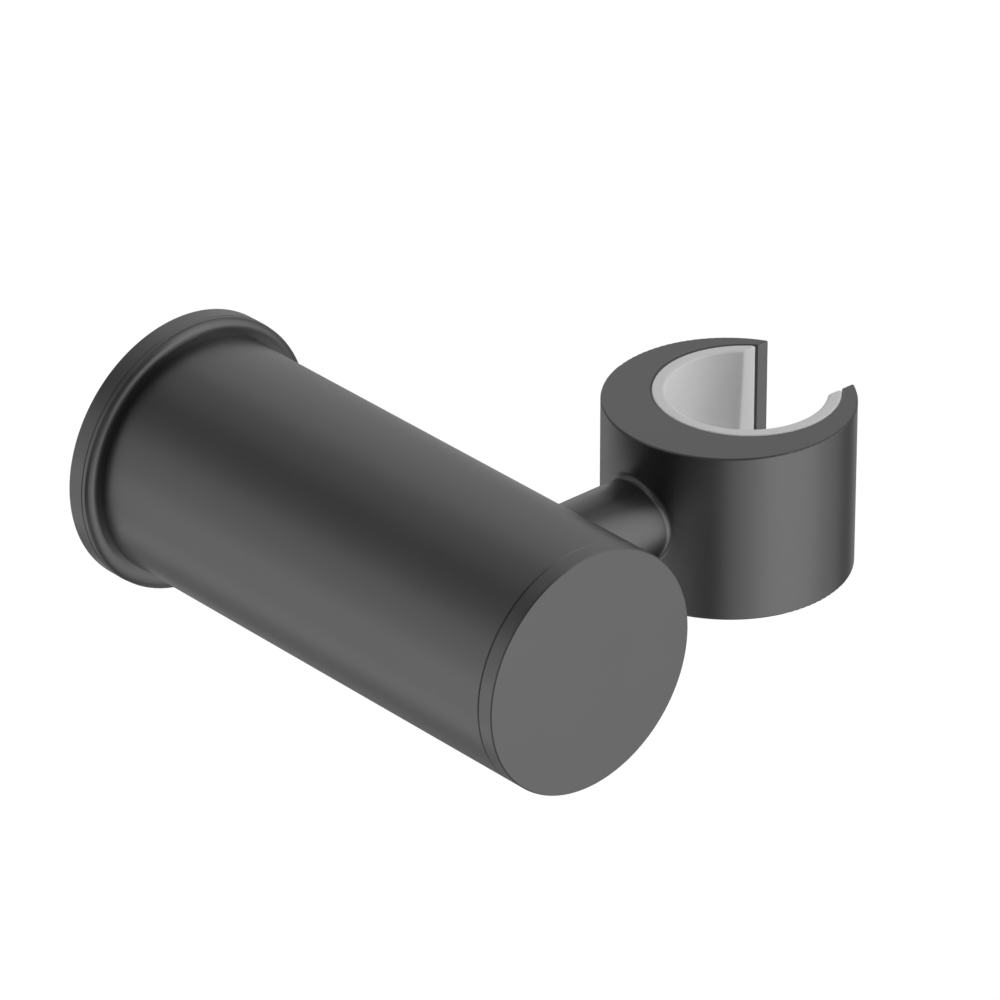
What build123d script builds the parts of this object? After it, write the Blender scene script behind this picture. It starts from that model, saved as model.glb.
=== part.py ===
import os
from math import cos, radians, sqrt

from build123d import *

# Hand shower holder for a bathroom wall. A round hollow arm stands straight out of the wall on a
# slightly wider foot. Near its front end a short round stem leaves one side and carries an open
# ring with a plastic liner, in which the cone of a hand shower hangs. The ring swivels about the
# stem, held by the disc springs of a small pivot inside the arm.
# Origin: centre of the wall plate's back face, on the wall. +X towards the ring, -Y out of the
# wall along the arm, +Z up. All sizes are in millimetres.

# Arm
tube_diameter = 35.0
tube_wall = 3.0
projection = 83.4  # wall to the front face of the cap
foot_step = 2.45  # how far the foot stands out round the arm
foot_thickness = 1.3  # how far the foot stands in front of the wall plate
foot_edge = 0.5  # height of the foot's straight edge in front of the wall plate
foot_edge_round = 0.3
foot_crown = 1.5  # width of the dome that runs round the foot's flat front
seam_bevel = 0.15  # small bevel where two coated pieces meet

# Wall plate
plate_lip = 0.05  # how far the plate stands out round the foot
plate_thickness = 2.8
spigot_length = 11.0
spigot_wall = 2.0
spigot_clearance = 0.1
wall_screw_spacing = 15.0
wall_screw_hole = 4.5
countersink_diameter = 8.5
gasket_margin = 1.5  # from the plate's edge to the gasket
gasket_width = 3.5
gasket_thickness = 1.0
gasket_clearance = 0.1

# Grub screws under the arm
grub_diameter = 4.0
grub_tip_diameter = 2.4
grub_recess = 0.4
grub_key = 2.0
grub_key_depth = 1.6
grub_from_wall = 9.5
grub_bite = 0.8  # how deep the point reaches into its groove or dimple
thread_clearance = 0.03

# End cap
cap_thickness = 2.5
cap_spigot_length = 6.5
cap_spigot_wall = 2.6
cap_clearance = 0.1
cap_seal_section = 1.6
seal_corner_share = 0.3  # corner of a pressed rubber ring, as a share of its thickness
seal_groove_share = 1.2  # width of the groove for it, likewise
lead_in_bevel = 0.6  # on the ends that slide into the arm

# Stem and ring
stem_from_front = 26.5
stem_diameter = 12.0
stem_gap = 14.6  # clear length of stem between arm and ring
stem_fillet = 0.8
stem_hole_clearance = 0.1
stem_seal_section = 1.2
stud_diameter = 6.0
stud_length = 9.0
stud_end_gap = 1.5
ring_diameter = 35.0
ring_height = 24.9
ring_wall = 4.5  # before the bore is shifted
bore_shift = 3.25  # the bore lies off centre, towards the mouth
mouth_width = 16.6
ring_edge_round = 0.25

# Ring liner
liner_gap = 0.25
liner_top_wall = 1.65
liner_land_wall = 2.15
liner_land_height = 9.0
liner_rim_drop = 0.1
liner_lead_in = 0.5
liner_end_round = 0.8
peg_diameter = 4.0
peg_length = 2.0
peg_clearance = 0.05
peg_end_gap = 0.2

# Pivot inside the arm
block_length = 22.0
block_clearance = 0.1
puller_hole = 5.0
puller_depth = 7.0
journal_diameter = 10.0
journal_clearance = 0.05
bush_wall = 1.5
bush_flange_width = 1.5
bush_flange_thickness = 1.0
bush_fit = 0.02
grease_space = 1.5
end_play = 0.05
pocket_clearance = 0.4
wall_clearance = 0.6  # turning pieces stay this far from the arm's inner wall
head_diameter = 14.5
head_thickness = 2.5
thread_diameter = 8.0
thread_flat = 0.9
thread_overrun = 0.3  # the spindle stands out of its nut this far
bore_clearance = 0.1
washer_diameter = 15.4
washer_thickness = 1.0
spring_diameter = 15.0
spring_thickness = 0.5
spring_dish = 0.4
spring_count = 2
tab_thickness = 0.4
tab_length = 1.6
tab_width = 3.0
nut_flats = 13.0
nut_thickness = 2.4
nut_bevel = 0.4
nut_bevel_width = 0.8

# Two places closer than this count as one when edges are picked
tolerance = 0.01

# Sizes that follow from those above
tube_radius = tube_diameter / 2
bore_radius = tube_radius - tube_wall
foot_radius = tube_radius + foot_step
plate_radius = foot_radius + plate_lip
gasket_radius = plate_radius - gasket_margin
foot_front = plate_thickness + foot_thickness
seam = projection - cap_thickness
stem_from_wall = projection - stem_from_front
spigot_radius = bore_radius - spigot_clearance
cap_spigot_radius = bore_radius - cap_clearance
block_radius = bore_radius - block_clearance
stem_radius = stem_diameter / 2
stem_hole_radius = stem_radius + stem_hole_clearance
ring_radius = ring_diameter / 2
ring_x = tube_radius + stem_gap + ring_radius
bore_x = ring_x + bore_shift
ring_bore_radius = ring_radius - ring_wall
liner_radius = ring_bore_radius - liner_gap
journal_radius = journal_diameter / 2
bush_bore_radius = journal_radius + journal_clearance
bush_radius = bush_bore_radius + bush_wall
bush_flange_radius = bush_radius + bush_flange_width
thread_radius = thread_diameter / 2
nut_corner_radius = nut_flats / 2 / cos(radians(30))
pocket_radius = max(bush_flange_radius, washer_diameter / 2, nut_corner_radius) + pocket_clearance
spring_stack = spring_count * (spring_thickness + spring_dish)

# Places along the stem's axis, from the ring's side of the arm to the other
head_face = sqrt(bore_radius**2 - (head_diameter / 2) ** 2) - wall_clearance
journal_start = head_face - head_thickness
outer_seat = journal_start - end_play - bush_flange_thickness
nut_end = wall_clearance - sqrt(bore_radius**2 - nut_corner_radius**2)
nut_start = nut_end + nut_thickness
tab_start = nut_start + tab_thickness
spring_start = tab_start + spring_stack
washer_start = spring_start + washer_thickness
inner_seat = washer_start + end_play + bush_flange_thickness
sleeve_length = (outer_seat - inner_seat - grease_space) / 2
# the hole in the arm's wall is a full ring between its inner wall and this place
hole_mouth = sqrt(tube_radius**2 - stem_radius**2)
seal_place = (bore_radius + hole_mouth) / 2

# The stem's axis crosses the arm here
stem_place = Pos(0, -stem_from_wall, 0)


def turned_on_arm(profile):
    # A piece turned about the arm's axis; the profile is (radius, distance from the wall)
    outline = Polyline([(radius, -distance) for radius, distance in profile], close=True)
    return revolve(make_face(outline), Axis.Y)


def turned_on_stem(profile):
    # A piece turned about the stem's axis; the profile is (place along +X, radius)
    return stem_place * revolve(make_face(Polyline(profile, close=True)), Axis.X)


def rod_on_stem(radius, start, end):
    # A round bar along the stem's axis
    return stem_place * Pos((start + end) / 2, 0, 0) * Rot(0, 90, 0) * Cylinder(radius, end - start)


def grub_screw(reach, distance):
    # A hexagon socket grub screw under the arm, whose flat point ends at the radius reach
    length = tube_radius - grub_recess - reach
    radius = grub_diameter / 2
    tip = grub_tip_diameter / 2
    cone = radius - tip
    shank = Polyline((0, 0), (radius, 0), (radius, length - cone), (tip, length), (0, length), close=True)
    screw = revolve(make_face(Plane.XZ * shank), Axis.Z)
    socket = extrude(RegularPolygon(grub_key / 2, 6, major_radius=False), grub_key_depth)
    return Pos(0, -distance, grub_recess - tube_radius) * (screw - socket)


def grub_hole(distance):
    # The tapped hole for a grub screw through the arm's lower wall
    hole_radius = grub_diameter / 2 + thread_clearance
    hole = Cylinder(hole_radius, tube_wall * 2)
    return Pos(0, -distance, -tube_radius + tube_wall / 2) * hole


def make_wall_plate():
    rim = plate_radius
    front = plate_thickness
    end = front + spigot_length
    inner = spigot_radius - spigot_wall
    floor = spigot_radius - grub_bite
    groove = grub_tip_diameter / 2 + thread_clearance
    gasket_outer = gasket_radius + gasket_clearance
    gasket_inner = gasket_radius - gasket_width - gasket_clearance
    plate = turned_on_arm(
        [
            (0, 0),
            (gasket_inner, 0),
            (gasket_inner, gasket_thickness),
            (gasket_outer, gasket_thickness),
            (gasket_outer, 0),
            (rim - seam_bevel, 0),
            (rim, seam_bevel),
            (rim, front - seam_bevel),
            (rim - seam_bevel, front),
            (spigot_radius, front),
            (spigot_radius, grub_from_wall - groove - grub_bite),
            (floor, grub_from_wall - groove),
            (floor, grub_from_wall + groove),
            (spigot_radius, grub_from_wall + groove + grub_bite),
            (spigot_radius, end - seam_bevel),
            (spigot_radius - seam_bevel, end),
            (inner, end),
            (inner, front),
            (0, front),
        ]
    )
    depth = (countersink_diameter - wall_screw_hole) / 2
    for side in (-1, 1):
        drill = Cylinder(wall_screw_hole / 2, front * 3)
        sink = Pos(0, 0, front - depth / 2) * Cone(wall_screw_hole / 2, countersink_diameter / 2, depth)
        plate -= Pos(0, 0, side * wall_screw_spacing / 2) * Rot(90, 0, 0) * (drill + sink)
    return plate


def make_wall_gasket():
    outer = gasket_radius
    inner = outer - gasket_width
    return turned_on_arm([(inner, 0), (outer, 0), (outer, gasket_thickness), (inner, gasket_thickness)])


def make_body_tube():
    # the foot rises from its straight edge in a dome and ends in a flat front
    edge_top = (foot_radius, -plate_thickness - foot_edge)
    dome_top = (foot_radius - foot_crown, -foot_front)
    dome = TangentArc(dome_top, edge_top, tangent=(1, 0))
    sides = Polyline(
        edge_top,
        (foot_radius, -plate_thickness),
        (bore_radius, -plate_thickness),
        (bore_radius, -seam),
        (tube_radius - seam_bevel, -seam),
        (tube_radius, -seam + seam_bevel),
        (tube_radius, -foot_front),
        dome_top,
    )
    section = make_face(Wire([dome] + list(sides.edges())))
    corner = section.vertices().sort_by_distance((*edge_top, 0))[0]
    tube = revolve(fillet(corner, foot_edge_round), Axis.Y)
    tube -= rod_on_stem(stem_hole_radius, 0, tube_diameter)
    tube -= grub_hole(grub_from_wall)
    tube -= grub_hole(stem_from_wall)
    return tube


def make_end_cap():
    back = seam - cap_spigot_length
    inner = cap_spigot_radius - cap_spigot_wall
    groove_middle = seam - cap_spigot_length / 2
    groove_half = cap_seal_section * seal_groove_share / 2
    groove_floor = bore_radius - cap_seal_section - bore_clearance
    return turned_on_arm(
        [
            (0, projection),
            (tube_radius - seam_bevel, projection),
            (tube_radius, projection - seam_bevel),
            (tube_radius, seam + seam_bevel),
            (tube_radius - seam_bevel, seam),
            (cap_spigot_radius, seam),
            (cap_spigot_radius, groove_middle + groove_half),
            (groove_floor, groove_middle + groove_half),
            (groove_floor, groove_middle - groove_half),
            (cap_spigot_radius, groove_middle - groove_half),
            (cap_spigot_radius, back + lead_in_bevel),
            (cap_spigot_radius - lead_in_bevel, back),
            (inner, back),
            (inner, seam),
            (0, seam),
        ]
    )


def pressed_section(place, outer, size):
    # The section of a round rubber ring that its groove presses nearly square
    inner = outer - size
    half = size / 2
    corner = size * seal_corner_share
    return [
        (place - half + corner, inner),
        (place + half - corner, inner),
        (place + half, inner + corner),
        (place + half, outer - corner),
        (place + half - corner, outer),
        (place - half + corner, outer),
        (place - half, outer - corner),
        (place - half, inner + corner),
    ]


def make_cap_seal():
    place = seam - cap_spigot_length / 2
    section = pressed_section(place, bore_radius - bore_clearance / 2, cap_seal_section)
    return turned_on_arm([(radius, distance) for distance, radius in section])


def make_pivot_block():
    block = stem_place * Rot(90, 0, 0) * Cylinder(block_radius, block_length)
    block = chamfer(block.edges().filter_by(GeomType.CIRCLE), lead_in_bevel)
    block -= rod_on_stem(bush_radius + bush_fit, inner_seat, outer_seat)
    block -= rod_on_stem(pocket_radius, outer_seat, tube_radius)
    block -= rod_on_stem(pocket_radius, -tube_radius, inner_seat)
    dimple = Cone(grub_diameter / 2, grub_tip_diameter / 2 + thread_clearance, grub_bite)
    block -= Pos(0, -stem_from_wall, grub_bite / 2 - block_radius) * dimple
    # a tapped hole in the front end, by which the block is drawn out
    side = (block_radius + bush_radius) / 2
    front = stem_from_wall + block_length / 2
    puller = Rot(90, 0, 0) * Cylinder(puller_hole / 2, puller_depth * 2)
    return block - Pos(0, -front, side) * puller


def make_bush(seat, outward):
    # A flanged bush; outward is +1 on the ring's side of the block and -1 on the other
    face = seat + outward * bush_flange_thickness
    end = seat - outward * sleeve_length
    return turned_on_stem(
        [
            (face, bush_bore_radius),
            (face, bush_flange_radius),
            (seat, bush_flange_radius),
            (seat, bush_radius),
            (end, bush_radius),
            (end, bush_bore_radius),
        ]
    )


def make_spindle():
    journal_end = inner_seat - bush_flange_thickness - end_play
    thread_end = nut_end - thread_overrun
    spindle = turned_on_stem(
        [
            (head_face, 0),
            (head_face, head_diameter / 2),
            (journal_start, head_diameter / 2),
            (journal_start, journal_radius),
            (journal_end, journal_radius),
            (journal_end, thread_radius),
            (thread_end, thread_radius),
            (thread_end, 0),
        ]
    )
    socket_end = head_face - stud_length - stud_end_gap
    spindle -= rod_on_stem(stud_diameter / 2 + thread_clearance, socket_end, head_face)
    # a flat along the thread keys the friction washer and the tab washer
    flat = Box(journal_end - thread_end, thread_diameter, thread_flat)
    flat_place = Pos((journal_end + thread_end) / 2, 0, thread_radius - thread_flat / 2)
    return spindle - stem_place * flat_place * flat


def keyed_disc(diameter, start, thickness):
    # A flat washer with a D-shaped hole that turns with the spindle; start is its +X face
    hole_radius = thread_radius + bore_clearance
    key_level = thread_radius - thread_flat + bore_clearance
    filler = Pos(0, key_level + hole_radius) * Rectangle(hole_radius * 2, hole_radius * 2)
    section = Circle(diameter / 2) - (Circle(hole_radius) - filler)
    return stem_place * Pos(start, 0, 0) * extrude(Plane.YZ * section, -thickness)


def make_tab_washer():
    # one tab is bent over a flat of the nut and keeps it from turning
    washer = keyed_disc(nut_flats, tab_start, tab_thickness)
    level = nut_flats / 2 + tab_thickness
    lug = Box(tab_thickness, tab_width, level - thread_diameter / 2)
    tab = Box(tab_length, tab_width, tab_thickness)
    lug_place = Pos(tab_start - tab_thickness / 2, 0, (level + thread_diameter / 2) / 2)
    tab_place = Pos(tab_start - tab_length / 2, 0, level - tab_thickness / 2)
    return washer + stem_place * (lug_place * lug + tab_place * tab)


def make_disc_springs():
    springs = []
    inner = thread_radius + bore_clearance
    outer = spring_diameter / 2
    pitch = spring_thickness + spring_dish
    for number in range(spring_count):
        near = spring_start - number * pitch
        if number % 2:
            inner_lift, outer_lift = spring_dish, 0
        else:
            inner_lift, outer_lift = 0, spring_dish
        section = [
            (near - inner_lift, inner),
            (near - outer_lift, outer),
            (near - outer_lift - spring_thickness, outer),
            (near - inner_lift - spring_thickness, inner),
        ]
        springs.append(turned_on_stem(section))
    return Compound(springs)


def make_spindle_nut():
    hexagon = RegularPolygon(nut_flats / 2, 6, major_radius=False)
    hexagon -= Circle(thread_radius + thread_clearance)
    nut = stem_place * Pos(nut_start, 0, 0) * extrude(Plane.YZ * hexagon, -nut_thickness)
    envelope = turned_on_stem(
        [
            (nut_start, 0),
            (nut_start, nut_corner_radius),
            (nut_end + nut_bevel, nut_corner_radius),
            (nut_end, nut_corner_radius - nut_bevel_width),
            (nut_end, 0),
        ]
    )
    return nut & envelope


def make_holder_ring():
    ring = Pos(ring_x, -stem_from_wall, 0) * Cylinder(ring_radius, ring_height)
    casting = ring + rod_on_stem(stem_radius, head_face, ring_x)
    junction = casting.edges().filter_by(GeomType.BSPLINE)
    casting = fillet(junction, stem_fillet)
    casting -= Pos(bore_x, -stem_from_wall, 0) * Cylinder(ring_bore_radius, ring_height * 2)
    mouth = Box(ring_diameter, mouth_width, ring_height * 2)
    casting -= Pos(bore_x + ring_diameter / 2, -stem_from_wall, 0) * mouth
    rims = casting.edges().group_by(Axis.Z)
    corners = casting.edges().filter_by(Axis.Z).filter_by(lambda edge: edge.center().X > bore_x)
    casting = fillet(rims[0] + rims[-1] + corners, ring_edge_round)
    # hole for the liner's peg, in the thick wall behind the bore
    hole_end = bore_x - ring_bore_radius - peg_length - peg_end_gap
    casting -= rod_on_stem(peg_diameter / 2 + peg_clearance, hole_end, bore_x)
    # groove for the seal, inside the arm's wall, and the threaded stud behind it
    half = stem_seal_section * seal_groove_share / 2
    floor = stem_hole_radius - stem_seal_section - bore_clearance
    sleeve = rod_on_stem(stem_diameter, seal_place - half, seal_place + half)
    casting -= sleeve - rod_on_stem(floor, seal_place - half, seal_place + half)
    return casting + rod_on_stem(stud_diameter / 2, head_face - stud_length, head_face)


def make_stem_seal():
    outer = stem_hole_radius - bore_clearance / 2
    return turned_on_stem(pressed_section(seal_place, outer, stem_seal_section))


def make_ring_liner():
    top = ring_height / 2 - liner_rim_drop
    bottom = -ring_height / 2
    land_radius = liner_radius - liner_land_wall
    top_radius = liner_radius - liner_top_wall
    outline = Polyline(
        (liner_radius, 0, bottom),
        (liner_radius, 0, top),
        (top_radius + liner_lead_in, 0, top),
        (top_radius, 0, top - liner_lead_in),
        (land_radius, 0, bottom + liner_land_height),
        (land_radius, 0, bottom),
        close=True,
    )
    shell = revolve(make_face(outline), Axis.Z)
    mouth = Box(ring_diameter, mouth_width, ring_height * 2)
    shell -= Pos(ring_diameter / 2, 0, 0) * mouth
    inner_corners = shell.edges().filter_by(is_inner_corner)
    shell = fillet(inner_corners, liner_end_round)
    liner = Pos(bore_x, -stem_from_wall, 0) * shell
    peg_start = bore_x - ring_bore_radius - peg_length
    peg_end = bore_x - liner_radius + liner_top_wall / 2
    return liner + rod_on_stem(peg_diameter / 2, peg_start, peg_end)


def is_inner_corner(edge):
    # The upright edges where the liner's mouth meets its inner wall
    middle = edge.center()
    at_mouth = abs(abs(middle.Y) - mouth_width / 2) < tolerance
    at_inner_wall = sqrt(middle.X**2 + middle.Y**2) < liner_radius - liner_top_wall + tolerance
    return at_mouth and at_inner_wall and edge.bounding_box().size.Z > liner_lead_in + tolerance


nodes = {
    "wall_plate": make_wall_plate(),
    "wall_gasket": make_wall_gasket(),
    "body_tube": make_body_tube(),
    "body_grub_screw": grub_screw(spigot_radius - grub_bite + thread_clearance, grub_from_wall),
    "end_cap": make_end_cap(),
    "cap_seal": make_cap_seal(),
    "pivot_block": make_pivot_block(),
    "block_grub_screw": grub_screw(block_radius - grub_bite + thread_clearance, stem_from_wall),
    "outer_bush": make_bush(outer_seat, 1),
    "inner_bush": make_bush(inner_seat, -1),
    "spindle": make_spindle(),
    "friction_washer": keyed_disc(washer_diameter, washer_start, washer_thickness),
    "disc_springs": make_disc_springs(),
    "tab_washer": make_tab_washer(),
    "spindle_nut": make_spindle_nut(),
    "stem_seal": make_stem_seal(),
    "holder_ring": make_holder_ring(),
    "ring_liner": make_ring_liner(),
}

os.makedirs("parts", exist_ok=True)
for name, shape in nodes.items():
    export_step(shape, f"parts/{name}.step")
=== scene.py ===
from math import cos, pi, radians, sin, sqrt

import bmesh
import bpy
from mathutils import Matrix, Vector


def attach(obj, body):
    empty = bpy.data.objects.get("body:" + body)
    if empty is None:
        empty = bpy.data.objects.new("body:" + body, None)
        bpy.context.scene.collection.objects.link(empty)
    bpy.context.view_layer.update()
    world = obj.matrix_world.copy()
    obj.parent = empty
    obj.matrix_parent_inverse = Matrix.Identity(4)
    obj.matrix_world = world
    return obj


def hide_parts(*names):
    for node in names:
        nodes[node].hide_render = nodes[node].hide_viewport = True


# Hand shower holder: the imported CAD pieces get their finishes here, and the liner, the seals and
# the small turned pieces are made again with their rounded rims, threads and key sockets.
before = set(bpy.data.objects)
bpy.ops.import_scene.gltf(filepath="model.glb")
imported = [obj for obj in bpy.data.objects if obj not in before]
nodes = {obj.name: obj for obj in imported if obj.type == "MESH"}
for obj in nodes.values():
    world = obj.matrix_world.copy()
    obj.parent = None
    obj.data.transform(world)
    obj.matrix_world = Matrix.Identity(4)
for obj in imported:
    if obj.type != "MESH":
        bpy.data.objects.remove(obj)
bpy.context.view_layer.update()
mm = 0.001
weld = 0.002 * mm  # points closer than this are one
print("frame loaded")


def linearColour(code):
    # "#RRGGBB" as a screen shows it, turned into the linear values that the shaders use
    channels = [int(code[i : i + 2], 16) / 255 for i in (1, 3, 5)]
    return [c / 12.92 if c <= 0.04045 else ((c + 0.055) / 1.055) ** 2.4 for c in channels] + [1.0]


def addNode(tree, kind, values=None, **settings):
    # One node with its settings; a value that is another node's output is linked instead of set
    node = tree.nodes.new(kind)
    for name, value in settings.items():
        setattr(node, name, value)
    for socket, value in (values or {}).items():
        if isinstance(value, bpy.types.NodeSocket):
            tree.links.new(value, node.inputs[socket])
        else:
            node.inputs[socket].default_value = value
    return node


def newMaterial(name):
    material = bpy.data.materials.new(name)
    material.use_nodes = True
    material.node_tree.nodes.clear()
    return material, material.node_tree


def setMaterial(material, *names):
    for name in names:
        mesh = nodes[name].data
        mesh.materials.clear()
        mesh.materials.append(material)


gunmetal = {
    "colour": "#6F6F6F",
    "darkColour": "#6B6B6B",
    "roughness": 0.36,
    "roughnessSpread": 0.02,
    "grainMm": 0.22,  # the blasting leaves pits of 0.05 mm; drawn coarser so that they show
    "grainHeight": 0.02,
    "cloudMm": 14,  # how far apart the slightly lighter and darker places are
}


def makeGunmetal():
    # Brass, turned, fine-blasted and coated in gunmetal grey: an even dark satin metal with wide
    # soft highlights, no brush lines, and only a breath of change from place to place
    material, tree = newMaterial("satinGunmetalCoating")
    place = addNode(tree, "ShaderNodeTexCoord").outputs["Object"]
    cloud = addNode(
        tree,
        "ShaderNodeTexNoise",
        {"Vector": place, "Scale": 1 / (gunmetal["cloudMm"] * mm), "Detail": 2.0, "Roughness": 0.5},
    )
    grain = addNode(
        tree,
        "ShaderNodeTexNoise",
        {"Vector": place, "Scale": 1 / (gunmetal["grainMm"] * mm), "Detail": 1.0, "Roughness": 0.6},
    )
    colour = addNode(
        tree,
        "ShaderNodeMix",
        {
            "Factor": cloud.outputs["Fac"],
            "A": linearColour(gunmetal["darkColour"]),
            "B": linearColour(gunmetal["colour"]),
        },
        data_type="RGBA",
    )
    roughness = addNode(
        tree,
        "ShaderNodeMapRange",
        {
            "Value": cloud.outputs["Fac"],
            "To Min": gunmetal["roughness"] - gunmetal["roughnessSpread"],
            "To Max": gunmetal["roughness"] + gunmetal["roughnessSpread"],
        },
    )
    bump = addNode(
        tree,
        "ShaderNodeBump",
        {
            "Height": grain.outputs["Fac"],
            "Strength": 0.25,
            "Distance": gunmetal["grainHeight"] * mm,
        },
    )
    shader = addNode(
        tree,
        "ShaderNodeBsdfPrincipled",
        {
            "Base Color": colour.outputs["Result"],
            "Metallic": 1.0,
            "Roughness": roughness.outputs["Result"],
            "Normal": bump.outputs["Normal"],
        },
    )
    addNode(tree, "ShaderNodeOutputMaterial", {"Surface": shader.outputs["BSDF"]})
    return material


gunmetalCoating = makeGunmetal()
setMaterial(gunmetalCoating, "wall_plate", "body_tube", "end_cap", "holder_ring")

acetal = {
    "colour": "#D4D4D4",
    "shadeColour": "#CFCFCF",
    "roughness": 0.42,
    "lightDepthMm": 0.6,
    "flowMm": 5,
    "skinMm": 0.25,  # the tool's skin is 0.1 mm fine; drawn coarser so that it shows
    "skinHeight": 0.02,
}


def makeAcetal():
    # Acetal, injection-moulded in an eroded tool: off-white, faintly milky, with a fine matt skin
    material, tree = newMaterial("mouldedAcetal")
    place = addNode(tree, "ShaderNodeTexCoord").outputs["Object"]
    flow = addNode(
        tree,
        "ShaderNodeTexNoise",
        {"Vector": place, "Scale": 1 / (acetal["flowMm"] * mm), "Detail": 2.0},
    )
    skin = addNode(
        tree,
        "ShaderNodeTexNoise",
        {"Vector": place, "Scale": 1 / (acetal["skinMm"] * mm), "Detail": 1.0},
    )
    colour = addNode(
        tree,
        "ShaderNodeMix",
        {
            "Factor": flow.outputs["Fac"],
            "A": linearColour(acetal["shadeColour"]),
            "B": linearColour(acetal["colour"]),
        },
        data_type="RGBA",
    )
    bump = addNode(
        tree,
        "ShaderNodeBump",
        {
            "Height": skin.outputs["Fac"],
            "Strength": 0.2,
            "Distance": acetal["skinHeight"] * mm,
        },
    )
    shader = addNode(
        tree,
        "ShaderNodeBsdfPrincipled",
        {
            "Base Color": colour.outputs["Result"],
            "Roughness": acetal["roughness"],
            "IOR": 1.48,
            "Subsurface Weight": 0.15,
            "Subsurface Radius": (1.0, 1.0, 1.0),
            "Subsurface Scale": acetal["lightDepthMm"] * mm,
            "Normal": bump.outputs["Normal"],
        },
    )
    addNode(tree, "ShaderNodeOutputMaterial", {"Surface": shader.outputs["BSDF"]})
    return material


mouldedAcetal = makeAcetal()

# A finishing cut leaves rings 0.25 mm apart
brass = {"colour": "#D8B56A", "darkColour": "#B8924C", "roughness": 0.28, "ringMm": 0.25}
steel = {"colour": "#C9C9C6", "darkColour": "#A9A9A6", "roughness": 0.26, "ringMm": 0.25}


def makeTurnedMetal(name, axis, colour, darkColour, roughness, ringMm, ringHeight=0.01, stainMm=4):
    # Metal left as the lathe cut it: fine rings round the turning axis that catch the light
    material, tree = newMaterial(name)
    place = addNode(tree, "ShaderNodeTexCoord").outputs["Object"]
    # the bands of a wave texture of scale 1 are 0.314 apart
    feed = addNode(
        tree,
        "ShaderNodeTexWave",
        {"Vector": place, "Scale": 0.314 / (ringMm * mm), "Distortion": 0.6, "Detail": 2.0},
        bands_direction=axis,
    )
    stain = addNode(
        tree,
        "ShaderNodeTexNoise",
        {"Vector": place, "Scale": 1 / (stainMm * mm), "Detail": 3.0},
    )
    tint = addNode(
        tree,
        "ShaderNodeMix",
        {"Factor": stain.outputs["Fac"], "A": linearColour(darkColour), "B": linearColour(colour)},
        data_type="RGBA",
    )
    bump = addNode(
        tree,
        "ShaderNodeBump",
        {"Height": feed.outputs["Fac"], "Strength": 0.3, "Distance": ringHeight * mm},
    )
    shader = addNode(
        tree,
        "ShaderNodeBsdfPrincipled",
        {
            "Base Color": tint.outputs["Result"],
            "Metallic": 1.0,
            "Roughness": roughness,
            "Normal": bump.outputs["Normal"],
        },
    )
    addNode(tree, "ShaderNodeOutputMaterial", {"Surface": shader.outputs["BSDF"]})
    return material


turnedBrass = makeTurnedMetal("turnedBrass", "Y", **brass)
pivotBrass = makeTurnedMetal("turnedPivotBrass", "X", **brass)
turnedSteel = makeTurnedMetal("turnedStainlessSteel", "X", **steel)

rubber = {
    "colour": "#232323",
    "darkColour": "#1B1B1B",
    "roughness": 0.6,
    "grainMm": 0.3,  # the mould leaves finer marks; drawn coarser so that they show
    "sheen": 0.1,
}
bushPlastic = {
    "colour": "#E4E1D6",
    "darkColour": "#DBD8CC",
    "roughness": 0.45,
    "grainMm": 0.5,  # the cutter leaves finer marks; drawn coarser so that they show
    "sheen": 0.0,
}


def makeMattPlain(name, colour, darkColour, roughness, grainMm, sheen, grainHeight=0.02):
    # Moulded rubber or turned plastic: a matt skin, faintly uneven in colour, and no sharp gloss
    material, tree = newMaterial(name)
    place = addNode(tree, "ShaderNodeTexCoord").outputs["Object"]
    grain = addNode(
        tree,
        "ShaderNodeTexNoise",
        {"Vector": place, "Scale": 1 / (grainMm * mm), "Detail": 2.0},
    )
    tint = addNode(
        tree,
        "ShaderNodeMix",
        {"Factor": grain.outputs["Fac"], "A": linearColour(darkColour), "B": linearColour(colour)},
        data_type="RGBA",
    )
    bump = addNode(
        tree,
        "ShaderNodeBump",
        {"Height": grain.outputs["Fac"], "Strength": 0.3, "Distance": grainHeight * mm},
    )
    shader = addNode(
        tree,
        "ShaderNodeBsdfPrincipled",
        {
            "Base Color": tint.outputs["Result"],
            "Roughness": roughness,
            "Sheen Weight": sheen,
            "Normal": bump.outputs["Normal"],
        },
    )
    addNode(tree, "ShaderNodeOutputMaterial", {"Surface": shader.outputs["BSDF"]})
    return material


sealRubber = makeMattPlain("mouldedSealRubber", **rubber)
bushAcetal = makeMattPlain("turnedBushAcetal", **bushPlastic)

setMaterial(turnedBrass, "pivot_block")
setMaterial(pivotBrass, "friction_washer")
setMaterial(turnedSteel, "tab_washer")
setMaterial(sealRubber, "wall_gasket")
setMaterial(bushAcetal, "outer_bush", "inner_bush")
print("materials made")

# Where the small pieces go, in mm. They are made upright: onArm turns +Z out of the wall, along
# the arm, and onStem turns it along the stem, towards the ring.
arm = {"radius": 17.5, "boreRadius": 14.5, "stemFromWall": 56.9, "stemRadius": 6.0}
onArm = Matrix.Rotation(radians(90), 4, "X")
stemStart = Matrix.Translation((0, -arm["stemFromWall"] * mm, 0))
onStem = stemStart @ Matrix.Rotation(radians(90), 4, "Y")


def alongZ(distance):
    return Matrix.Translation((0, 0, distance * mm))


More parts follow.
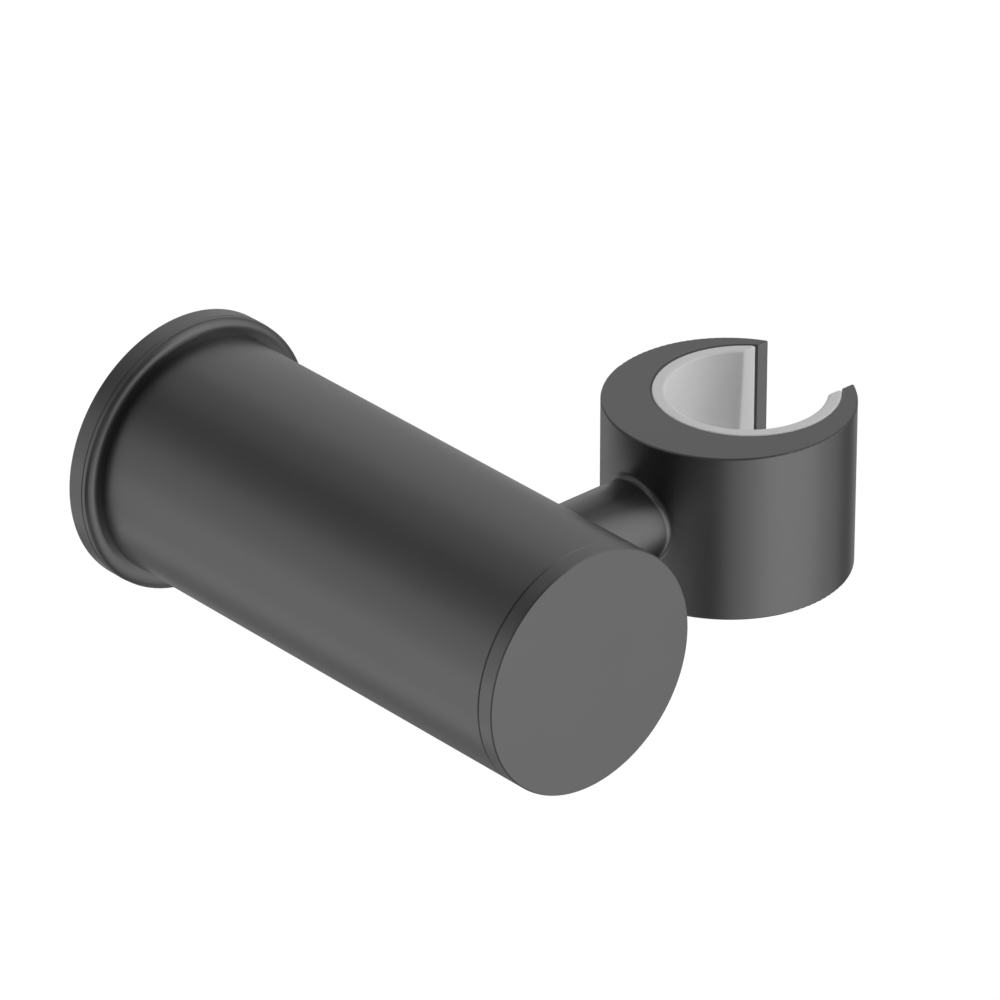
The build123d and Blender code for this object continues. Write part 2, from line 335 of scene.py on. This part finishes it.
def lathe(bm, profile, steps=64, closed=True):
    # Turns a profile of (radius, height) in mm about Z
    points = [bm.verts.new((r * mm, 0, h * mm)) for r, h in profile]
    pairs = list(zip(points, points[1:]))
    if closed:
        pairs.append((points[-1], points[0]))
    edges = [bm.edges.new(pair) for pair in pairs]
    bmesh.ops.spin(
        bm,
        geom=points + edges,
        cent=(0, 0, 0),
        axis=(0, 0, 1),
        angle=2 * pi,
        steps=steps,
        use_merge=True,
        use_duplicate=False,
    )
    bmesh.ops.remove_doubles(bm, verts=bm.verts, dist=weld)
    bmesh.ops.recalc_face_normals(bm, faces=bm.faces)


def softenEdges(bm, size, segments=2, sharperThan=30):
    # Rounds every edge that is sharper than the given angle; size in mm
    limit = radians(sharperThan)
    edges = [e for e in bm.edges if len(e.link_faces) == 2 and e.calc_face_angle() > limit]
    bmesh.ops.bevel(
        bm,
        geom=edges,
        offset=size * mm,
        offset_type="OFFSET",
        affect="EDGES",
        segments=segments,
        profile=0.5,
        material=-1,
        clamp_overlap=True,
    )


def cutAway(bm, point, normal):
    # Takes off what lies on the side the normal points to, and closes the cut; point in mm
    cut = bmesh.ops.bisect_plane(
        bm,
        geom=list(bm.verts) + list(bm.edges) + list(bm.faces),
        dist=0.0001 * mm,
        plane_co=Vector(point) * mm,
        plane_no=normal,
        clear_outer=True,
    )
    rim = [g for g in cut["geom_cut"] if isinstance(g, bmesh.types.BMEdge)]
    bmesh.ops.holes_fill(bm, edges=rim, sides=0)


# Parts of a pitch, as on a metric thread: how deep it is, and how far up the groove ends, the
# crest begins and the crest ends
thread = {"depth": 0.61, "grooveEnd": 0.2, "crestStart": 0.55, "crestEnd": 0.65}


def addThread(bm, radius, pitch, start, end, steps=32):
    # A closed threaded length along Z: one pitch of the profile is swept up a helix that is longer
    # than needed, then both ends are cut square
    root = radius - thread["depth"] * pitch
    turns = int((end - start) / pitch) + 3
    low = start - pitch * 1.5
    profile = [
        (root, low),
        (root, low + pitch * thread["grooveEnd"]),
        (radius, low + pitch * thread["crestStart"]),
        (radius, low + pitch * thread["crestEnd"]),
        (root, low + pitch),
    ]
    own = bmesh.new()
    points = [own.verts.new((r * mm, 0, h * mm)) for r, h in profile]
    edges = [own.edges.new(pair) for pair in zip(points, points[1:])]
    bmesh.ops.spin(
        own,
        geom=points + edges,
        cent=(0, 0, 0),
        axis=(0, 0, 1),
        dvec=(0, 0, pitch * mm / steps),
        angle=2 * pi * turns,
        steps=steps * turns,
        use_duplicate=False,
    )
    bmesh.ops.remove_doubles(own, verts=own.verts, dist=weld)
    bmesh.ops.recalc_face_normals(own, faces=own.faces)
    cutAway(own, (0, 0, end), (0, 0, 1))
    cutAway(own, (0, 0, start), (0, 0, -1))
    bmesh.ops.recalc_face_normals(own, faces=own.faces)
    part = bpy.data.meshes.new("thread")
    own.to_mesh(part)
    own.free()
    bm.from_mesh(part)
    bpy.data.meshes.remove(part)


def makePiece(bm, name, place, body, material, replaced, sharpAngle=35):
    # Puts a finished bmesh in its place on its body, instead of the CAD node that it replaces
    bmesh.ops.transform(bm, matrix=place, verts=bm.verts)
    mesh = bpy.data.meshes.new(name)
    bm.to_mesh(mesh)
    bm.free()
    mesh.shade_smooth()
    mesh.set_sharp_from_angle(angle=radians(sharpAngle))
    mesh.materials.append(material)
    piece = bpy.data.objects.new(name, mesh)
    bpy.context.scene.collection.objects.link(piece)
    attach(piece, body)
    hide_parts(replaced)
    print(name, "made")


liner = {
    "centre": (52.85, -56.9),
    "outerRadius": 12.98,
    "topWall": 1.87,
    "landWall": 2.37,
    "landHeight": 9.0,
    "top": 12.45,
    "bottom": -12.45,
    "mouth": 16.6,
    "innerRound": 0.8,
    "outerRound": 0.3,
    "rimRound": 0.25,
    "rimFlat": 0.05,
    "leadIn": 0.5,
    "footRound": 0.15,
    "pegRadius": 2.0,
    "pegLength": 2.03,
    "pegRoot": 0.8,
    "wallSteps": 44,
    "innerSteps": 6,
    "outerSteps": 4,
    "rimSteps": 5,
}


def arc(bm, start, heart, end, steps):
    # Turns a vertex about an upright axis at heart until it lies in the direction of end
    turn = (start.co.xy - heart.xy).angle_signed((end - heart).xy)
    turned = bmesh.ops.spin(
        bm,
        geom=[start],
        cent=(heart.x, heart.y, start.co.z),
        axis=(0, 0, 1),
        angle=-turn,
        steps=steps,
        use_duplicate=False,
    )
    return [g for g in turned["geom_last"] if isinstance(g, bmesh.types.BMVert)][0]


def linerLevel(bm, height, wall, inset, leadIn=0.0):
    # Half of the sleeve's C at one height, as a closed line: it shrinks by inset all round, and the
    # bore opens by leadIn too
    p = liner
    before = set(bm.edges)
    outer = (p["outerRadius"] - inset) * mm
    inner = (p["outerRadius"] - wall + inset + leadIn) * mm
    lip = (p["mouth"] / 2 + inset) * mm
    innerRound, outerRound = p["innerRound"] * mm, p["outerRound"] * mm
    middle = Vector((0, 0, 0))
    innerY, outerY = lip + innerRound, lip + outerRound
    innerHeart = Vector((sqrt((inner + innerRound) ** 2 - innerY**2), innerY, 0))
    outerHeart = Vector((sqrt((outer - outerRound) ** 2 - outerY**2), outerY, 0))
    first = bm.verts.new((-inner, 0, height * mm))
    atInnerCorner = arc(bm, first, middle, innerHeart, p["wallSteps"])
    onLip = arc(bm, atInnerCorner, innerHeart, innerHeart - Vector((0, 1, 0)), p["innerSteps"])
    acrossLip = bmesh.ops.extrude_vert_indiv(bm, verts=[onLip])["verts"][0]
    acrossLip.co.x = outerHeart.x
    atOuterCorner = arc(bm, acrossLip, outerHeart, outerHeart * 2, p["outerSteps"])
    last = arc(bm, atOuterCorner, middle, Vector((-1, 0, 0)), p["wallSteps"])
    bm.edges.new((last, first))
    return [e for e in bm.edges if e not in before]


def makeLiner():
    # The sleeve that the shower's cone rests in: levels of its wall, joined from the rounded foot
    # to the rounded rim, and mirrored so that both lips come out alike
    p = liner
    bottom, top, foot, rim = p["bottom"], p["top"], p["footRound"], p["rimRound"]
    wider = p["leadIn"] - rim
    midRound = 0.3  # the middle of a round is 0.3 of its radius in from either side
    bm = bmesh.new()
    levels = [
        linerLevel(bm, bottom, p["landWall"], foot),
        linerLevel(bm, bottom + foot * midRound, p["landWall"], foot * midRound),
        linerLevel(bm, bottom + foot, p["landWall"], 0),
        linerLevel(bm, bottom + p["landHeight"], p["landWall"], 0),
    ]
    for step in range(p["rimSteps"] + 1):
        lean = radians(90 * step / p["rimSteps"])
        height, inset = top - rim + rim * sin(lean), rim * (1 - cos(lean))
        levels.append(linerLevel(bm, height, p["topWall"], inset, wider * (1 - cos(lean))))
    levels.append(linerLevel(bm, top, p["topWall"], rim + p["rimFlat"], wider))
    for lower, upper in zip(levels, levels[1:]):
        bmesh.ops.bridge_loops(bm, edges=lower + upper)
    bmesh.ops.contextual_create(bm, geom=levels[0])
    bmesh.ops.contextual_create(bm, geom=levels[-1])
    inside = [f for f in bm.faces if all(abs(v.co.y) < weld for v in f.verts)]
    bmesh.ops.delete(bm, geom=inside, context="FACES")
    bmesh.ops.mirror(
        bm,
        geom=list(bm.verts) + list(bm.edges) + list(bm.faces),
        axis="Y",
        merge_dist=weld,
    )
    bmesh.ops.recalc_face_normals(bm, faces=bm.faces)
    # the peg that keeps the sleeve from turning in the ring is rooted in its wall
    pegMiddle = -(p["outerRadius"] + (p["pegLength"] - p["pegRoot"]) / 2) * mm
    bmesh.ops.create_cone(
        bm,
        cap_ends=True,
        segments=32,
        radius1=p["pegRadius"] * mm,
        radius2=p["pegRadius"] * mm,
        depth=(p["pegLength"] + p["pegRoot"]) * mm,
        matrix=Matrix.Translation((pegMiddle, 0, 0)) @ Matrix.Rotation(radians(90), 4, "Y"),
    )
    makePiece(
        bm,
        "coneSleeve",
        Matrix.Translation((p["centre"][0] * mm, p["centre"][1] * mm, 0)),
        "holder",
        mouldedAcetal,
        "ring_liner",
        sharpAngle=50,
    )


makeLiner()

# A ring's radius is measured to the middle of its rubber, and its section is the rubber's radius
seals = {
    "capFromWall": 77.65,
    "capRadius": 13.65,
    "capSection": 0.8,
    "stemRadius": 5.45,
    "stemSection": 0.6,
    "squeeze": 0.95,
}


def makeSeal(name, radius, section, place, body, replaced):
    # A rubber ring of round section, pressed a little flat where it seals
    bm = bmesh.new()
    bmesh.ops.create_circle(bm, segments=20, radius=section * mm)
    bmesh.ops.scale(bm, vec=(seals["squeeze"], 1, 1), verts=bm.verts)
    upright = Matrix.Rotation(radians(90), 3, "X")
    bmesh.ops.rotate(bm, cent=(0, 0, 0), matrix=upright, verts=bm.verts)
    bmesh.ops.translate(bm, vec=(radius * mm, 0, 0), verts=bm.verts)
    bmesh.ops.spin(
        bm,
        geom=list(bm.verts) + list(bm.edges),
        cent=(0, 0, 0),
        axis=(0, 0, 1),
        angle=2 * pi,
        steps=72,
        use_merge=True,
        use_duplicate=False,
    )
    bmesh.ops.remove_doubles(bm, verts=bm.verts, dist=weld)
    bmesh.ops.recalc_face_normals(bm, faces=bm.faces)
    makePiece(bm, name, place, body, sealRubber, replaced)


makeSeal(
    "capSealRing",
    seals["capRadius"],
    seals["capSection"],
    onArm @ alongZ(seals["capFromWall"]),
    "wall_bracket",
    "cap_seal",
)
# the stem's seal sits halfway through the arm's wall
wallMiddle = (arm["boreRadius"] + sqrt(arm["radius"] ** 2 - arm["stemRadius"] ** 2)) / 2
makeSeal(
    "stemSealRing",
    seals["stemRadius"],
    seals["stemSection"],
    onStem @ alongZ(wallMiddle),
    "holder",
    "stem_seal",
)

grubScrew = {
    "radius": 1.97,
    "pitch": 0.7,
    "length": 3.47,
    "chamfer": 0.35,
    "chamferDepth": 0.3,
    "tipRadius": 1.2,
    "tipLength": 0.8,
    "tipStep": 0.05,
    "key": 2.0,
    "keyDepth": 1.6,
    "recess": 0.4,
    "fromWall": (9.5, 56.9),
}


def makeGrubScrew(name, fromWall, replaced):
    # Socket grub screw, +Z into the arm: a chamfered face with a hexagon socket, a metric thread
    # and a flat point
    p = grubScrew
    bm = bmesh.new()
    keyRadius = p["key"] / 2 / cos(radians(30))
    faceRadius = p["radius"] - p["chamfer"]
    face = bmesh.ops.create_circle(bm, segments=48, radius=faceRadius * mm)["verts"]
    faceEdges = list({e for v in face for e in v.link_edges})
    key = bmesh.ops.create_circle(bm, segments=6, radius=keyRadius * mm)["verts"]
    keyEdges = list({e for v in key for e in v.link_edges})
    bmesh.ops.bridge_loops(bm, edges=faceEdges + keyEdges)
    deeper = bmesh.ops.extrude_edge_only(bm, edges=keyEdges)["geom"]
    floor = [g for g in deeper if isinstance(g, bmesh.types.BMVert)]
    bmesh.ops.translate(bm, vec=(0, 0, p["keyDepth"] * mm), verts=floor)
    bmesh.ops.contextual_create(bm, geom=[g for g in deeper if isinstance(g, bmesh.types.BMEdge)])
    outer = bmesh.ops.extrude_edge_only(bm, edges=faceEdges)["geom"]
    rim = [g for g in outer if isinstance(g, bmesh.types.BMVert)]
    grow = p["radius"] / faceRadius
    bmesh.ops.scale(bm, vec=(grow, grow, 1), verts=rim)
    bmesh.ops.translate(bm, vec=(0, 0, p["chamferDepth"] * mm), verts=rim)
    bmesh.ops.recalc_face_normals(bm, faces=bm.faces)
    end = p["length"] - p["tipLength"]
    addThread(bm, p["radius"], p["pitch"], p["chamferDepth"], end)
    bmesh.ops.create_cone(
        bm,
        cap_ends=True,
        segments=48,
        radius1=(p["radius"] - p["tipStep"]) * mm,
        radius2=p["tipRadius"] * mm,
        depth=p["tipLength"] * mm,
        matrix=alongZ(end + p["tipLength"] / 2),
    )
    place = Matrix.Translation((0, -fromWall * mm, (p["recess"] - arm["radius"]) * mm))
    makePiece(bm, name, place, "wall_bracket", turnedSteel, replaced)


makeGrubScrew("plateGrubScrew", grubScrew["fromWall"][0], "body_grub_screw")
makeGrubScrew("pivotGrubScrew", grubScrew["fromWall"][1], "block_grub_screw")

spindle = {
    "headFace": 11.957,
    "headRadius": 7.25,
    "headThickness": 2.5,
    "journalRadius": 5.0,
    "journalEnd": -6.206,
    "threadRadius": 4.0,
    "threadPitch": 1.0,
    "threadEnd": -12.106,
    "threadOverlap": 0.2,
    "flat": 0.9,
    "boreRadius": 3.03,
    "boreDepth": 10.5,
    "boreCone": 1,
    "edgeRound": 0.2,
}


def makeSpindle():
    # The turning pin of the swivel, +Z towards the ring: a flange, a ground journal and a threaded
    # end with one flat, on which the washers are keyed
    p = spindle
    head = p["headFace"]
    bm = bmesh.new()
    lathe(
        bm,
        [
            (0, head - p["boreDepth"]),
            (p["boreRadius"], head - p["boreDepth"] + p["boreCone"]),
            (p["boreRadius"], head),
            (p["headRadius"], head),
            (p["headRadius"], head - p["headThickness"]),
            (p["journalRadius"], head - p["headThickness"]),
            (p["journalRadius"], p["journalEnd"]),
            (0, p["journalEnd"]),
        ],
        closed=False,
    )
    softenEdges(bm, p["edgeRound"], sharperThan=50)
    threadTop = p["journalEnd"] + p["threadOverlap"]
    addThread(bm, p["threadRadius"], p["threadPitch"], p["threadEnd"], threadTop)
    # the flat faces up, which is -X here; it is pressed into the thread only, not into the journal
    level = (p["threadRadius"] - p["flat"]) * mm
    reach = (p["threadRadius"] + p["journalRadius"]) / 2 * mm
    for v in bm.verts:
        if v.co.z < threadTop * mm + weld and v.co.xy.length < reach and v.co.x < -level:
            v.co.x = -level
    makePiece(bm, "swivelSpindle", onStem, "holder", turnedSteel, "spindle")


makeSpindle()

spindleNut = {"flats": 13.0, "thickness": 2.4, "start": -9.406, "bore": 4.03, "edgeRound": 0.35}


def makeSpindleNut():
    # Thin hexagon nut, +Z towards the ring
    p = spindleNut
    bm = bmesh.new()
    corner = p["flats"] / 2 / cos(radians(30))
    turn = Matrix.Rotation(radians(30), 4, "Z")
    hexagon = bmesh.ops.create_circle(bm, segments=6, radius=corner * mm, matrix=turn)["verts"]
    hexagonEdges = list({e for v in hexagon for e in v.link_edges})
    bore = bmesh.ops.create_circle(bm, segments=48, radius=p["bore"] * mm)["verts"]
    boreEdges = list({e for v in bore for e in v.link_edges})
    face = bmesh.ops.bridge_loops(bm, edges=hexagonEdges + boreEdges)["faces"]
    lifted = bmesh.ops.extrude_face_region(bm, geom=face)["geom"]
    top = [g for g in lifted if isinstance(g, bmesh.types.BMVert)]
    bmesh.ops.translate(bm, vec=(0, 0, -p["thickness"] * mm), verts=top)
    bmesh.ops.recalc_face_normals(bm, faces=bm.faces)
    softenEdges(bm, p["edgeRound"], sharperThan=40)
    place = onStem @ alongZ(p["start"])
    makePiece(bm, "swivelNut", place, "holder", pivotBrass, "spindle_nut")


makeSpindleNut()

springs = {
    "outer": 7.5,
    "inner": 4.1,
    "thickness": 0.5,
    "dish": 0.4,
    "start": -7.206,
    "edgeRound": 0.12,
}


def makeSprings():
    # Two dished spring washers, back to back
    p = springs
    bm = bmesh.new()
    for number in range(2):
        near = p["start"] - number * (p["thickness"] + p["dish"])
        innerLift, outerLift = (0, p["dish"]) if number == 0 else (p["dish"], 0)
        lathe(
            bm,
            [
                (p["inner"], near - innerLift),
                (p["outer"], near - outerLift),
                (p["outer"], near - outerLift - p["thickness"]),
                (p["inner"], near - innerLift - p["thickness"]),
            ],
        )
    softenEdges(bm, p["edgeRound"], sharperThan=40)
    makePiece(bm, "discSprings", onStem, "holder", turnedSteel, "disc_springs")


makeSprings()
print("small pieces made")


def outward(azimuth, elevation):
    # Azimuth 0 is the front of the arm and 90 the ring's side
    a, e = radians(azimuth), radians(elevation)
    return Vector((sin(a) * cos(e), -cos(a) * cos(e), sin(e)))


# The camera stands left of the arm and above it. Its lens is in mm and other lengths in metres.
view = {
    "azimuth": -41.85,
    "elevation": 29.10,
    "distance": 1.12525,
    "across": 0.043789,
    "above": -0.007587,
    "lens": 294.58,
}


def makeCamera():
    back = outward(view["azimuth"], view["elevation"])
    right = outward(view["azimuth"] + 90, 0)
    up = back.cross(right)
    camera = bpy.data.objects.new("camera", bpy.data.cameras.new("camera"))
    bpy.context.scene.collection.objects.link(camera)
    turn = Matrix((right, up, back)).transposed()
    place = back * view["distance"] + right * view["across"] + up * view["above"]
    camera.matrix_world = Matrix.Translation(place) @ turn.to_4x4()
    camera.data.lens = view["lens"]
    camera.data.clip_start = 0.05
    camera.data.clip_end = 50
    bpy.context.scene.camera = camera


makeCamera()
bpy.context.scene.view_settings.view_transform = "Standard"

# Directions are azimuth and elevation, seen from the object; lengths are in metres
studio = {
    "middle": (0.03, -0.04, 0.0),
    "distance": 1.5,
    "floorLevel": -1.6,
    "floorSize": 14.0,
    "floorColour": "#E6E6E6",
    "floorLift": 0.25,
    "keyLight": {"direction": (30, 8), "size": (0.8, 2.4), "power": 1.75},
    "lowLight": {"direction": (0, -22), "size": (0.8, 0.8), "power": 0.6},
    # for the liner alone: metal only mirrors, and nothing mirrors this light
    "sideLight": {"direction": (45, 45), "size": (0.8, 0.8), "power": 9.5, "mirrored": False},
    "cardSize": 0.8,
}

# The surround is white, and satin metal mirrors it softly. Its dark bands come from grey and black
# cards round the object, which the camera doesn't see: their grey first, then where they stand.
cards = {
    0.03: [(-60, -22), (-30, 38), (0, 38), (-120, 64)],
    0.05: [(120, 64)],
    0.15: [(90, -22), (-180, 8), (-60, 38)],
    0.2: [(-60, 8), (-150, 38)],
    0.25: [(-180, -75), (-60, -75), (60, -75), (-45, -50), (90, -50), (135, -50), (-90, -22)],
    0.3: [(-180, -50), (150, -22), (-30, 8)],
    0.35: [(-180, 64), (60, 64), (-180, 88)],
    0.4: [(-150, 8), (90, 8), (-90, 38), (-60, 64)],
    0.45: [(-180, 38), (-120, 38), (90, 38), (0, 64)],
    0.5: [(-90, 8)],
    0.55: [(-180, -22), (120, 8)],
    0.6: [(120, -22)],
    0.65: [(45, -50), (-150, -22), (60, -22), (120, 38)],
    0.7: [(150, 38)],
    0.75: [(-120, 8), (150, 8)],
    0.8: [(-30, -22)],
    0.85: [(0, -50)],
    0.9: [(-135, -50)],
}


def stageMesh(bm, name, material):
    mesh = bpy.data.meshes.new(name)
    bm.to_mesh(mesh)
    bm.free()
    mesh.materials.append(material)
    thing = bpy.data.objects.new(name, mesh)
    bpy.context.scene.collection.objects.link(thing)
    return thing


def makeFloor():
    # Painted board, lit like the object, with a little glow where it is looked at or mirrored
    material, tree = newMaterial("whiteFloorBoard")
    ray = addNode(tree, "ShaderNodeLightPath").outputs
    bounced = addNode(
        tree,
        "ShaderNodeMath",
        {0: ray["Is Glossy Ray"], 1: ray["Is Transmission Ray"]},
        operation="MAXIMUM",
    )
    seen = addNode(
        tree,
        "ShaderNodeMath",
        {0: ray["Is Camera Ray"], 1: bounced.outputs[0]},
        operation="MAXIMUM",
    )
    lift = addNode(
        tree,
        "ShaderNodeMapRange",
        {"Value": seen.outputs[0], "To Max": studio["floorLift"]},
    )
    glow = addNode(tree, "ShaderNodeEmission", {"Strength": lift.outputs["Result"]})
    paint = addNode(tree, "ShaderNodeBsdfDiffuse", {"Color": linearColour(studio["floorColour"])})
    both = addNode(
        tree,
        "ShaderNodeAddShader",
        {0: paint.outputs["BSDF"], 1: glow.outputs["Emission"]},
    )
    addNode(tree, "ShaderNodeOutputMaterial", {"Surface": both.outputs["Shader"]})
    bm = bmesh.new()
    bmesh.ops.create_grid(bm, x_segments=1, y_segments=1, size=studio["floorSize"] / 2)
    bmesh.ops.translate(bm, vec=(0, 0, studio["floorLevel"]), verts=bm.verts)
    stageMesh(bm, "floor", material)


def makeSurround():
    world = bpy.data.worlds.new("whiteSurround")
    bpy.context.scene.world = world
    world.use_nodes = True
    tree = world.node_tree
    tree.nodes.clear()
    white = addNode(tree, "ShaderNodeBackground", {"Color": (1, 1, 1, 1), "Strength": 1.0})
    addNode(tree, "ShaderNodeOutputWorld", {"Surface": white.outputs["Background"]})
    # found by the surfaces' own rays only, which the cards can stop
    world.cycles.sampling_method = "NONE"


def makeCards(grey, directions):
    name = f"cards{grey * 100:02.0f}"
    material, tree = newMaterial(name)
    card = addNode(tree, "ShaderNodeEmission", {"Color": (1, 1, 1, 1), "Strength": grey})
    addNode(tree, "ShaderNodeOutputMaterial", {"Surface": card.outputs["Emission"]})
    bm = bmesh.new()
    for direction in directions:
        out = outward(*direction)
        place = Matrix.Translation(Vector(studio["middle"]) + out * studio["distance"])
        turn = out.to_track_quat("Z", "Y").to_matrix().to_4x4()
        bmesh.ops.create_grid(
            bm,
            x_segments=1,
            y_segments=1,
            size=studio["cardSize"] / 2,
            matrix=place @ turn,
        )
    thing = stageMesh(bm, name, material)
    thing.visible_camera = False
    thing.visible_shadow = False


def makeSoftbox(name, direction, size, power, mirrored=True):
    lamp = bpy.data.lights.new(name, "AREA")
    lamp.shape = "RECTANGLE"
    lamp.size, lamp.size_y = size
    lamp.energy = power
    box = bpy.data.objects.new(name, lamp)
    bpy.context.scene.collection.objects.link(box)
    out = outward(*direction)
    box.location = Vector(studio["middle"]) + out * studio["distance"]
    box.rotation_mode = "QUATERNION"
    box.rotation_quaternion = out.to_track_quat("Z", "Y")
    box.visible_camera = False
    box.visible_glossy = mirrored


makeFloor()
makeSurround()
for cardGrey, cardDirections in cards.items():
    makeCards(cardGrey, cardDirections)
makeSoftbox("keyLight", **studio["keyLight"])
makeSoftbox("lowLight", **studio["lowLight"])
makeSoftbox("sideLight", **studio["sideLight"])
print("studio made")
